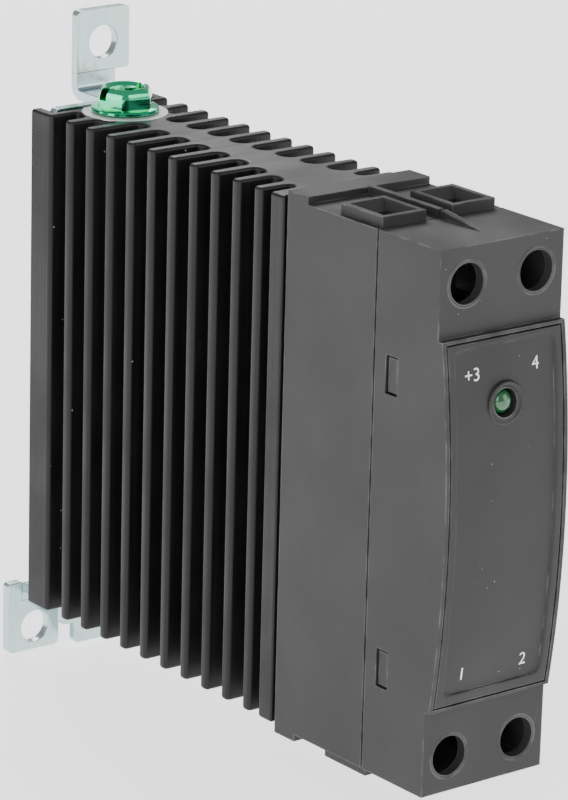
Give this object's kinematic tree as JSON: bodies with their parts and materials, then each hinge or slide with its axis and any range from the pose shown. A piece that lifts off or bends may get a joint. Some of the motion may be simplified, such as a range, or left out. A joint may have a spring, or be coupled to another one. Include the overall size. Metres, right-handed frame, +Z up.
{
  "type": "solid state relay",
  "caption": "Slim solid state relay on a finned heat sink, with screw terminals top and bottom, a curved front plate and a bracket for a rail or panel.",
  "frame": {"origin": "middle of the plane where the heat sink's two rear lips seat on the rail", "axes": "+X to the right seen from the front, +Y from the front label plate to the rail, +Z up, from the output terminals to the input terminals"},
  "size_m": [0.0226, 0.1089, 0.1046],
  "materials": {
    "housing_plastic": "fine matte moulded, dark grey",
    "black_anodised": "black anodised extrusion, satin",
    "zinc_steel": "bright zinc plated sheet and screws",
    "green_steel": "mirror bright green plating",
    "nickel_brass": "nickel plated",
    "tinned_copper": "tin plated, satin",
    "led_lens": "tinted green lens, unlit",
    "board": "green board",
    "black_epoxy": "moulded black",
    "film_body": "yellow coating",
    "resistor_body": "grey coating",
    "ceramic": "white ceramic",
    "bare_aluminium": "bare, satin",
    "silicone_pad": "grey pad",
    "spring_steel": "drawn wire"
  },
  "bodies": {
    "relay_body": {"heatsink": "black_anodised", "rear_housing": "housing_plastic", "front_cover": "housing_plastic", "label_plate": "housing_plastic", "status_led": "led_lens", "control_board": "board", "optocoupler": "black_epoxy", "snubber_capacitor": "film_body", "snubber_resistor": "resistor_body", "power_substrate": "ceramic", "thyristor_1": "black_epoxy", "thyristor_2": "black_epoxy", "heat_spreader_plate": "bare_aluminium", "thermal_pad": "silicone_pad", "module_screw_1": "zinc_steel", "module_screw_2": "zinc_steel", "bracket_screw_1": "zinc_steel", "bracket_screw_2": "zinc_steel", "mounting_bracket": "zinc_steel", "latch_spring": "spring_steel", "terminal_bar_1": "tinned_copper", "terminal_bar_2": "tinned_copper", "terminal_bar_3": "tinned_copper", "terminal_bar_4": "tinned_copper"},
    "terminal_screw_1": {"terminal_screw_1": "nickel_brass"},
    "terminal_clamp_1": {"terminal_clamp_1": "nickel_brass"},
    "terminal_screw_2": {"terminal_screw_2": "nickel_brass"},
    "terminal_clamp_2": {"terminal_clamp_2": "nickel_brass"},
    "terminal_screw_3": {"terminal_screw_3": "nickel_brass"},
    "terminal_clamp_3": {"terminal_clamp_3": "nickel_brass"},
    "terminal_screw_4": {"terminal_screw_4": "nickel_brass"},
    "terminal_clamp_4": {"terminal_clamp_4": "nickel_brass"},
    "ground_screw": {"ground_screw": "green_steel"},
    "din_latch": {"din_latch": "zinc_steel"}
  },
  "joints": [
    {"name": "terminal_screw_1_turn", "type": "hinge", "parent": "relay_body", "child": "terminal_screw_1", "pos_m": [-0.00635, -0.0885, -0.03505], "axis": [0, 1, 0], "range_deg": [0, 2160]},
    {"name": "terminal_clamp_1_lift", "type": "slide", "parent": "relay_body", "child": "terminal_clamp_1", "axis": [0, -1, 0], "range_m": [0, 0.0036]},
    {"name": "terminal_screw_2_turn", "type": "hinge", "parent": "relay_body", "child": "terminal_screw_2", "pos_m": [0.00635, -0.0885, -0.03505], "axis": [0, 1, 0], "range_deg": [0, 2160]},
    {"name": "terminal_clamp_2_lift", "type": "slide", "parent": "relay_body", "child": "terminal_clamp_2", "axis": [0, -1, 0], "range_m": [0, 0.0036]},
    {"name": "terminal_screw_3_turn", "type": "hinge", "parent": "relay_body", "child": "terminal_screw_3", "pos_m": [-0.00635, -0.0885, 0.03505], "axis": [0, 1, 0], "range_deg": [0, 2160]},
    {"name": "terminal_clamp_3_lift", "type": "slide", "parent": "relay_body", "child": "terminal_clamp_3", "axis": [0, -1, 0], "range_m": [0, 0.0036]},
    {"name": "terminal_screw_4_turn", "type": "hinge", "parent": "relay_body", "child": "terminal_screw_4", "pos_m": [0.00635, -0.0885, 0.03505], "axis": [0, 1, 0], "range_deg": [0, 2160]},
    {"name": "terminal_clamp_4_lift", "type": "slide", "parent": "relay_body", "child": "terminal_clamp_4", "axis": [0, -1, 0], "range_m": [0, 0.0036]},
    {"name": "ground_screw_turn", "type": "hinge", "parent": "relay_body", "child": "ground_screw", "pos_m": [0, -0.0093, 0.0405], "axis": [0, 0, 1], "range_deg": [0, 720]},
    {"name": "din_latch_slide", "type": "slide", "parent": "relay_body", "child": "din_latch", "axis": [0, 0, -1], "range_m": [0, 0.0035], "stiffness_N_per_m": 800, "springref_m": -0.003, "deforming": ["latch_spring"]}
  ],
  "couplings": [
    {"joint": "terminal_screw_1_turn", "follows": "terminal_clamp_1_lift", "rad_per_m": 10472},
    {"joint": "terminal_screw_2_turn", "follows": "terminal_clamp_2_lift", "rad_per_m": 10472},
    {"joint": "terminal_screw_3_turn", "follows": "terminal_clamp_3_lift", "rad_per_m": 10472},
    {"joint": "terminal_screw_4_turn", "follows": "terminal_clamp_4_lift", "rad_per_m": 10472}
  ]
}
